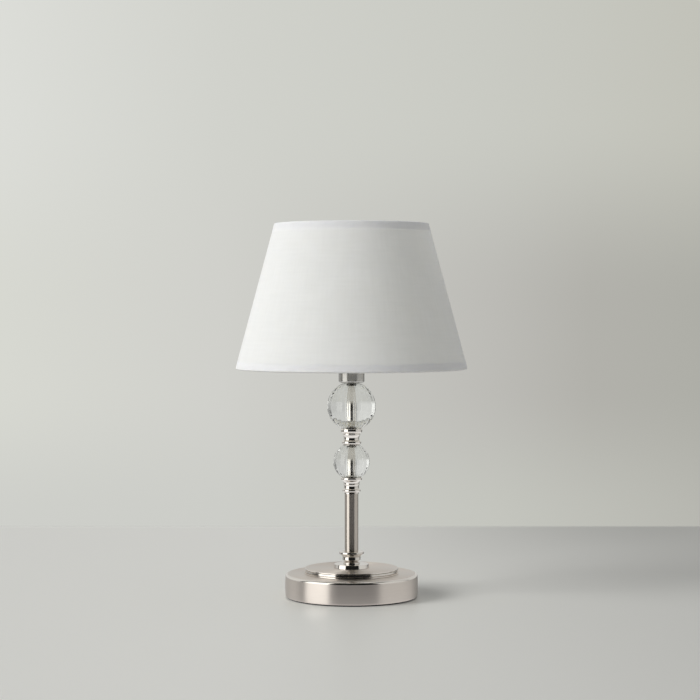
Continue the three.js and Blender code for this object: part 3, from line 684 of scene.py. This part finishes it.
def cord_gland():
    """A moulded bush through the back of the cover, with a rounded flange."""
    low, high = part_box("cord_gland")
    back, front = high.y / MM, low.y / MM
    level = (low.z + high.z) / 2 / MM
    rim = (high.z - low.z) / 2 / MM
    flange, shank, bore = 1.8, 4.3, 3.3
    outline = rounded([
        (bore, 0), (shank, 0, 0.3), (shank, back - front - flange), (rim, back - front - flange, 0.2),
        (rim, back - front, 0.9), (bore, back - front, 0.6), (bore, 0),
    ])
    rings = [[(x, front + z, level - y) for x, y, z in ring] for ring in turn(outline[:-1], 64)]
    dress("cord_gland", "stand", rings, ["rubber"], closed=True)


# Column

def foot_flange():
    low, high = levels("foot_flange")
    radius = reach("foot_flange")
    outline = rounded([
        (HOLE, low), (radius, low, 0.2), (radius - 0.6, high, 0.35), (HOLE, high), (HOLE, low),
    ])
    dress("foot_flange", "stand", turn(held(outline)[:-1]), ["polished_nickel"], closed=True)


def foot_collar():
    """A low bell with an upright rim, a barrel on it and a wide rounded lip round the tube."""
    low, high = levels("foot_collar")
    lip, tube = reach("foot_collar"), reach("stem_tube")
    foot, waist, barrel = 9.0, 5.4, 9.7
    socket = tube + 0.15
    outline = held([
        (HOLE, low), (foot - 0.1, low), (foot, low + 0.1), (foot, low + 0.7),
        *curve((foot - 0.1, low + 0.9), (foot - 0.7, low + 2.0), (waist, low + 3.1)),
        *rounded([(waist + 0.2, low + 3.3), (barrel - 0.7, low + 3.5, 0.3), (barrel, low + 4.2, 0.5),
                  (barrel, low + 7.4)]),
        *curve((barrel + 0.05, low + 7.6), (barrel + 0.5, low + 9.3), (lip - 0.8, low + 10.4)),
        *arc(lip - 0.7, low + 11.3, 0.7, -70, 0, 6), *arc(lip - 0.7, high - 0.7, 0.7, 0, 90, 6),
        (lip - 2.6, high),
        *curve((lip - 3.0, high - 0.1), (tube + 1.0, high - 0.3), (socket + 0.2, high - 1.3)),
        (socket, high - 2), (socket, high - 5.1), (HOLE, high - 5.1),
    ])

    def bell(centre, normal):
        return 1 if low + 0.9 < centre.z < low + 3.2 and normal.z > 0.3 else 0
    dress("foot_collar", "stand", turn(outline), ["polished_nickel", "satin_nickel"],
          closed=True, choose=bell)


def stem_tube():
    low, high = levels("stem_tube")
    outer = reach("stem_tube")
    inner = outer - 0.9
    outline = rounded([(inner, low), (outer, low, 0.2), (outer, high, 0.2), (inner, high), (inner, low)])
    dress("stem_tube", "stand", turn(held(outline)[:-1], 96), ["tube_satin"],
          closed=True)


LIP_WIDTH = 0.8  # mm from the crest of a collar's lip in to where it starts and ends


def collar_outside(base, top, foot, crest, waist, ridge, lip, heights):
    """A turned collar from its foot up: bead, hollow waist, small ridge, hollow flare and rounded lip."""
    foot_height, bead_height, waist_height, ridge_height, flare_height = heights
    bead_low = base + foot_height
    waist_low = bead_low + bead_height
    ridge_low = waist_low + waist_height
    flare_low = ridge_low + ridge_height
    lip_low = flare_low + flare_height
    neck = ridge - 0.5
    return [
        (foot, base), (foot, bead_low),
        *bead(waist + 0.3, crest, bead_low, waist_low),
        *curve((waist + 0.1, waist_low + 0.1), (waist - 0.3, (waist_low + ridge_low) / 2),
               (neck, ridge_low - 0.1)),
        *bead(neck + 0.1, ridge, ridge_low, flare_low, 8),
        *curve((neck + 0.1, flare_low + 0.1), (neck + 0.3, lip_low - 0.3), (lip - 0.9, lip_low)),
        *bead(lip - LIP_WIDTH, lip, lip_low + 0.05, top, 14),
    ]


LOWER_FLAT, UPPER_FLAT = 8.5, 9.0  # the radius of each ball's flats at its two ends
SEAL_ROOM = 0.6  # mm from a ball's flat to the metal, which holds the seal
DISH_GAP = 0.45  # mm of height between the round of a ball and the hollow under it


def dish(ball, flat, top, edge, centre, steps=6):
    """The hollow in a collar under a ball, from the lip's edge in to the rod's hole."""
    points = []
    low = centre - math.sqrt(ball ** 2 - flat ** 2) - SEAL_ROOM
    for i in range(steps + 1):
        radius = edge + (flat - edge) * i / steps
        height = centre - math.sqrt(ball ** 2 - radius ** 2) - DISH_GAP
        points.append((radius, min(height, top)))
    return points + [(flat, low), (HOLE, low)]


def ball_place(node):
    """The radius of a glass ball and the level of its centre."""
    low, high = levels(node)
    return reach(node), (low + high) / 2


def stem_collar():
    low, high = levels("stem_collar")
    lip = reach("stem_collar")
    spigot, plug = 6.0, 6.3
    base = low + spigot
    ball, centre = ball_place("lower_ball")
    outline = [
        *rounded([(HOLE, low), (plug, low, 0.4), (plug, base)]),
        *collar_outside(base, high, foot=7.9, crest=9.9, waist=8.2, ridge=8.9, lip=lip,
                        heights=(1.7, 3.8, 4.3, 1.1, 3.7)),
        *dish(ball, LOWER_FLAT, high, lip - LIP_WIDTH, centre),
    ]
    dress("stem_collar", "stand", turn(outline), ["polished_nickel"], closed=True)


def middle_collar():
    low, high = levels("middle_collar")
    lip = reach("middle_collar")
    below, centre_below = ball_place("lower_ball")
    above, centre_above = ball_place("upper_ball")
    rest = centre_below + math.sqrt(below ** 2 - LOWER_FLAT ** 2) + SEAL_ROOM
    outline = [
        (HOLE, rest), (LOWER_FLAT, rest),
        *collar_outside(low, high, foot=8.8, crest=10.5, waist=8.3, ridge=9.5, lip=lip,
                        heights=(0.3, 5.0, 5.2, 1.7, 1.2)),
        *dish(above, UPPER_FLAT, high, lip - LIP_WIDTH, centre_above),
    ]
    dress("middle_collar", "stand", turn(outline), ["polished_nickel"], closed=True)


FACETS = 24


def glass_ball(node, flat):
    """A ball cut from pole to pole in narrow facets, flat at both ends, bored through for the rod."""
    radius, centre = ball_place(node)
    half = math.sqrt(radius ** 2 - flat ** 2)
    rows, across = 72, 4
    half_facet = math.pi / FACETS
    count = FACETS * across
    angles = [TURN * i / count + half_facet for i in range(count)]
    rings = [[(HOLE * math.cos(a), HOLE * math.sin(a), centre - half) for a in angles]]
    lowest = math.asin(half / radius)
    for row in range(rows + 1):
        latitude = -lowest + 2 * lowest * row / rows
        height = centre + radius * math.sin(latitude)
        ring = []
        for i, angle in enumerate(angles):
            off_middle = (i % across / across * 2 - 1) * half_facet
            size = radius * math.cos(latitude) * math.cos(half_facet) / math.cos(off_middle)
            ring.append((size * math.cos(angle), size * math.sin(angle), height))
        rings.append(ring)
    rings.append([(x, y, centre + half) for x, y, z in rings[0]])
    dress(node, "stand", rings, ["ball_glass"], closed=True, sharp=8)


def plain_ring(node, inner, finish_name, body="stand", fillet=0.1):
    """A ring with a rectangular section and broken edges."""
    low, high = levels(node)
    outer = reach(node)
    outline = rounded([
        (inner, low), (outer, low, fillet), (outer, high, fillet), (inner, high, fillet), (inner, low),
    ])
    dress(node, body, turn(held(outline)[:-1], 96), [finish_name], closed=True)


def hollow_rod():
    """Plated and smooth between the balls, with a rolled thread at each end."""
    low, high = levels("hollow_rod")
    outer, bore = reach("hollow_rod"), 2.9
    pitch = 1.0
    threaded = [(low + 0.5, 24), (high - 12.5, 12)]
    outline = [(bore, low), (outer - 0.4, low)]
    for start, turns in threaded:
        outline.append((outer, start))
        for i in range(turns):
            outline.append((outer - 0.35, start + (i + 0.5) * pitch))
            outline.append((outer, start + (i + 1) * pitch))
    outline += [(outer - 0.4, high), (bore, high)]
    dress("hollow_rod", "stand", turn(outline, 64), ["polished_nickel"], closed=True)


# Lampholder

def holder_cup():
    low, high = levels("holder_cup")
    radius = reach("holder_cup")
    wall, edge = 0.8, 2.2
    inner = radius - wall
    outline = rounded([
        (HOLE, low), (radius, low, edge), (radius, high, 0.25), (inner, high, 0.25),
        (inner, low + wall, 0.8), (HOLE, low + wall), (HOLE, low),
    ])
    # Its satin carries painted shade from the lampshade above it
    dress("holder_cup", "stand", turn(held(outline)[:-1], 128), ["cup_satin_painted_shade"],
          closed=True)


PITCH = 2.82  # of the bulb's screw thread
THREAD_DEPTH = 0.8


def thread_ring(mean, height, segments, depth=THREAD_DEPTH, pitch=PITCH):
    """One ring of a round right-hand thread, where the radius goes with the angle and the height."""
    ring = []
    for i in range(segments):
        angle = TURN * i / segments
        radius = mean + depth / 2 * math.cos(angle - TURN * height / pitch)
        ring.append((radius * math.cos(angle), radius * math.sin(angle), height))
    return ring


def thread_rings(mean, low, high, segments=72, rows=120, **thread):
    return [thread_ring(mean, low + (high - low) * i / rows, segments, **thread) for i in range(rows + 1)]


def screw_shell():
    low, high = levels("screw_shell")
    outside = reach("screw_shell") - THREAD_DEPTH / 2
    rings = thread_rings(outside, low, high) + thread_rings(outside - 0.4, low, high)[::-1]
    dress("screw_shell", "stand", rings, ["brass"], closed=True)


def holder_skirt():
    """The white skirt round the screw shell: spigot, shoulder for the shade, and a coarse outer thread."""
    low, high = levels("holder_skirt")
    shoulder, thread, spigot, mouth = reach("holder_skirt"), 13.6, 12.9, 10.4
    seat = low + 2.5
    shoulder_top = seat + 2.2
    depth = 0.7
    neck = thread - depth
    ledge, narrow = low + 16.2, 8.35
    inside = rounded([(mouth, high, 0.5), (mouth, ledge), (narrow, ledge), (narrow, low + 0.5)])
    foot = rounded([
        (6.9, low + 0.5), (6.9, low), (spigot, low, 0.2), (spigot, seat), (shoulder, seat, 0.5),
        (shoulder, shoulder_top, 0.5), (neck, shoulder_top), (neck, shoulder_top + 1.5),
    ])
    top = [(neck, high - 1.5), (neck, high - 0.5), (neck - 0.5, high)]
    rings = turn(foot, 96)
    rings += thread_rings(thread - depth / 2, shoulder_top + 1.6, high - 1.6, 96, 110,
                          depth=depth, pitch=3.0)
    rings += turn(top, 96) + turn(inside, 96)
    dress("holder_skirt", "stand", rings, ["insulation"], closed=True)


# Bulb

def bulb_tip():
    low, high = levels("bulb_tip")
    radius = reach("bulb_tip")
    outline = rounded([(0, low), (radius, low, 1.1), (radius, high), (0, high)])
    dress("bulb_tip", "bulb_contact", turn(outline, 48), ["brass"])


def bulb_insulator():
    low, high = levels("bulb_insulator")
    radius = reach("bulb_insulator")
    outline = [
        (0, low), (3.2, low), *curve((3.2, low), (4.6, low + 0.4), (radius, high - 0.4)),
        (radius, high), (0, high),
    ]
    dress("bulb_insulator", "bulb", turn(outline, 64), ["rubber"])


def bulb_cap():
    low, high = levels("bulb_cap")
    rim, mean = reach("bulb_cap"), 6.55
    thread_top = low + 10.5
    foot = turn([(0, low), (5.7, low), (5.9, low + 0.2)], 72)
    thread = thread_rings(mean, low + 0.6, thread_top, 72, 100)
    neck = turn([
        *curve((mean + 0.1, thread_top + 0.6), (mean + 0.1, high - 4.2), (rim - 0.6, high - 2.9)),
        *arc(rim - 0.5, high - 2.4, 0.5, -60, 0, 5), (rim, high - 0.3), (rim - 0.3, high), (0, high),
    ], 72)
    dress("bulb_cap", "bulb", foot + thread + neck, ["aluminium"])


def bulb_housing():
    low, high = levels("bulb_housing")
    upper = reach("bulb_housing")
    outline = [
        (0, low), (8.0, low), (8.2, low + 0.2),
        *curve((9.2, low + 3), (10.2, low + 11), (upper, high - 2.5), 16),
        (upper, high - 0.3), (upper - 0.3, high), (0, high),
    ]
    dress("bulb_housing", "bulb", turn(outline, 96), ["opal"])


def bulb_dome():
    low, high = levels("bulb_dome")
    radius, foot = reach("bulb_dome"), reach("bulb_housing")
    belly = low + 13.0
    rows = 28
    flame = []
    for i in range(rows):
        share = i / rows
        flame.append((radius * math.cos(share * math.pi / 2) ** 0.8, belly + (high - belly) * share ** 0.9))
    outline = [
        (0, low), (foot - 0.2, low), *curve((foot, low + 0.2), (radius, low + 6), flame[0], 10),
        *flame[1:], (0, high),
    ]
    dress("bulb_dome", "bulb", turn(outline, 96), ["opal"], sharp=60)


# Shade

WIRE = 1.5  # mm, the radius of the hoops and spokes
CLOTH = 0.6  # mm, its thickness
HEM = 6.5  # mm that the cloth is turned in at each edge
HEM_FADE = 4.0  # mm beyond the hem, over which its painted lighter tint ends
SEAM_WIDTH, SEAM_STEP = 10.0, 0.4  # mm, of the lap at the back and of its rise
TURNING_HOLE = 13.9  # mm, the radius of the hole in the ring nut and the fitter


def wire_place(node):
    low, high = levels(node)
    return Vector((reach(node) - WIRE, (low + high) / 2))


def cloth_path():
    """The middle of the cloth from the hem inside the foot, round the lower wire, up, and over the top."""
    low = levels("shade_cloth")[0]
    foot = Vector((reach("shade_cloth"), low))
    lower, upper = wire_place("shade_lower_wire"), wire_place("shade_upper_wire")
    up = (upper - lower).normalized()
    out = Vector((up.y, -up.x))
    face = (foot - lower).dot(out) - CLOTH / 2
    roll = lower.y - low - CLOTH / 2

    def hem(wire, side):
        spots = [(face - 1.0, HEM), (0.5, HEM * 0.75), (-roll * 0.6, HEM * 0.5), (-roll, roll * 0.8)]
        under = [math.pi * (1.06 - 0.56 * i / 7) for i in range(7)]
        spots += [(roll * math.cos(a), -roll * math.sin(a)) for a in under]
        corner = [math.pi / 16 * i for i in range(8)]
        spots += [(face * math.sin(a) ** 0.4, -roll * math.cos(a) ** 0.4) for a in corner]
        spots += [(face, 0.5), (face, 10.0)]
        return [wire + out * across + up * along * side for across, along in spots]
    return hem(lower, 1) + hem(upper, -1)[::-1]


def ribbon(path, thickness):
    """Both sides of a path, as one closed outline."""
    sides = ([], [])
    for i, point in enumerate(path):
        along = (path[min(i + 1, len(path) - 1)] - path[max(i - 1, 0)]).normalized()
        across = Vector((along.y, -along.x)) * thickness / 2
        sides[0].append(tuple(point + across))
        sides[1].append(tuple(point - across))
    return sides[0] + sides[1][::-1]


def seam_rise(angle, radius):
    """How far the cloth stands out where its end laps over its start, at the back."""
    along = ((angle - TURN / 4 + math.pi) % TURN - math.pi) * radius
    if along < -SEAM_WIDTH / 2 or along > 3 * SEAM_WIDTH:
        return 0.0
    if along < SEAM_WIDTH / 2:
        return SEAM_STEP
    share = (along - SEAM_WIDTH / 2) / (2.5 * SEAM_WIDTH)
    return SEAM_STEP * (1 - share * share * (3 - 2 * share))


def shade_cloth():
    path = cloth_path()
    outline = ribbon(path, CLOTH)
    base_radius = reach("shade_cloth")
    step = SEAM_WIDTH / 2 / base_radius
    edge = TURN / 4 - step
    parts = 300
    angles = [edge - 0.002, edge + 0.0004]
    angles += [edge + TURN * (i + 0.5) / parts for i in range(parts - 1)]
    rings = []
    for index, (radius, height) in enumerate(outline):
        outer = index < len(path)
        ring = []
        for angle in angles:
            size = radius + (seam_rise(angle, base_radius) if outer else 0.0)
            ring.append((size * math.cos(angle), size * math.sin(angle), height))
        rings.append(ring)
    cloth = dress("shade_cloth", "shade", rings, ["shade_cloth", "backing"], closed=True, sharp=50)
    around = len(angles)
    for face in cloth.data.polygons:
        face.material_index = 0 if face.index // around < len(path) else 1


def hoop(node):
    place = wire_place(node)
    rings = turn(arc(place.x, place.y, WIRE, 0, 360, 16)[:-1], 160)
    dress(node, "shade", rings, ["white_wire"], closed=True)


def shade_fitter():
    plain_ring("shade_fitter", TURNING_HOLE, "white_wire", "shade", 0.35)


def tube_rings(path, radii, sides=16):
    """Rings round a path in a plane that holds the z axis."""
    rings = []
    for i, point in enumerate(path):
        along = (path[min(i + 1, len(path) - 1)] - path[max(i - 1, 0)]).normalized()
        across = Vector((0, 1, 0))
        up = along.cross(across)
        angles = [TURN * k / sides for k in range(sides)]
        rings.append([tuple(point + radii[i] * (math.cos(a) * across + math.sin(a) * up)) for a in angles])
    return [[tuple(path[0])], *rings, [tuple(path[-1])]]


def turned(point, angle):
    """A point turned round the z axis."""
    x, y, z = point
    return x * math.cos(angle) - y * math.sin(angle), x * math.sin(angle) + y * math.cos(angle), z


def shade_spokes():
    """Wires welded to the fitter's rim that run out and bend down on to the lower hoop."""
    low, high = levels("shade_fitter")
    start = Vector((reach("shade_fitter") - 0.6, 0, (low + high) / 2))
    place = wire_place("shade_lower_wire")
    end = Vector((place.x, 0, place.y))
    bend = Vector((end.x - 16, 0, start.z - 0.6))
    straight = [start.lerp(bend - Vector((8, 0, 0)), i / 12) for i in range(13)]
    elbow = curve(straight[-1], bend + Vector((1, 0, 0.4)), bend.lerp(end, 0.45), 10)
    corner = [Vector(point) for point in elbow[1:]]
    last = [corner[-1].lerp(end, i / 5) for i in range(1, 6)]
    path = straight + corner + last
    weld, weld_reach = 0.55, 1.6
    radii = []
    for point in path:
        near = min((point - start).length, (end - point).length)
        radii.append(WIRE + weld * math.exp(-(near / weld_reach) ** 2))
    for number in range(1, 4):
        angle = TURN / 4 + TURN * (number - 1) / 3
        rings = [[turned(point, angle) for point in ring] for ring in tube_rings(path, radii)]
        dress(f"shade_spoke_{number}", "shade", rings, ["white_wire"])


def shade_ring():
    """The ring nut: a flange and a gripping wall with scallops."""
    low, high = levels("shade_ring")
    flange, hole, grip = reach("shade_ring"), TURNING_HOLE, 16.3
    flange_top = low + 1.6
    scallops, cutter, depth = 8, 1.2, 0.9
    segments = 192

    def bite(angle):
        """How deep the round cutter has gone in at an angle."""
        swing = (angle * scallops / TURN + 0.5) % 1 - 0.5
        along = swing * TURN / scallops * grip
        if abs(along) >= cutter:
            return 0.0
        return max(0.0, depth - cutter + math.sqrt(cutter ** 2 - along ** 2))

    def scalloped(ring):
        made = []
        for x, y, z in ring:
            angle = math.atan2(y, x)
            radius = math.hypot(x, y) - bite(angle)
            made.append((radius * math.cos(angle), radius * math.sin(angle), z))
        return made
    lower = rounded([(hole, low), (flange, low, 0.4), (flange, flange_top, 0.5), (grip, flange_top)])
    wall = rounded([
        (grip, flange_top + 0.01), (grip, flange_top + 0.3), (grip, high, 0.5), (grip - 1.5, high),
    ])
    inside = [(grip - 1.4, high), (hole + 0.3, high), (hole, high - 0.3)]
    rings = turn(lower[:-1], segments)
    rings += [scalloped(ring) for ring in turn(wall[:-1], segments)]
    rings += turn(inside, segments)
    dress("shade_ring", "ring_nut", rings, ["insulation"], closed=True, sharp=40)


# CAD pieces that keep their shape and get a finish

KEPT = {
    "base_weight": "casting", "foot_washer": "zinc_steel", "foot_nut": "zinc_steel",
    "head_nut": "zinc_steel", "holder_base": "insulation", "terminal_screw_left": "brass",
    "terminal_screw_right": "brass", "centre_contact": "brass", "side_contact": "brass",
}


def finish_kept_nodes():
    for node, name in KEPT.items():
        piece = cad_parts[node]
        piece.data.materials.clear()
        piece.data.materials.append(FINISH[name])


make_camera()
make_world()
make_key()
make_floor()
FINISH = make_finishes()

felt_pad()
base_cover()
base_step()
cord_gland()
foot_flange()
foot_collar()
stem_tube()
stem_collar()
middle_collar()
glass_ball("lower_ball", LOWER_FLAT)
glass_ball("upper_ball", UPPER_FLAT)
for ball in ("lower_ball", "upper_ball"):
    for end in ("foot", "top"):
        plain_ring(f"{ball}_{end}_seal", HOLE, "seal")
hollow_rod()
holder_cup()
screw_shell()
holder_skirt()
bulb_tip()
bulb_insulator()
bulb_cap()
bulb_housing()
bulb_dome()
hoop("shade_lower_wire")
hoop("shade_upper_wire")
shade_fitter()
shade_spokes()
shade_ring()
shade_cloth()
finish_kept_nodes()
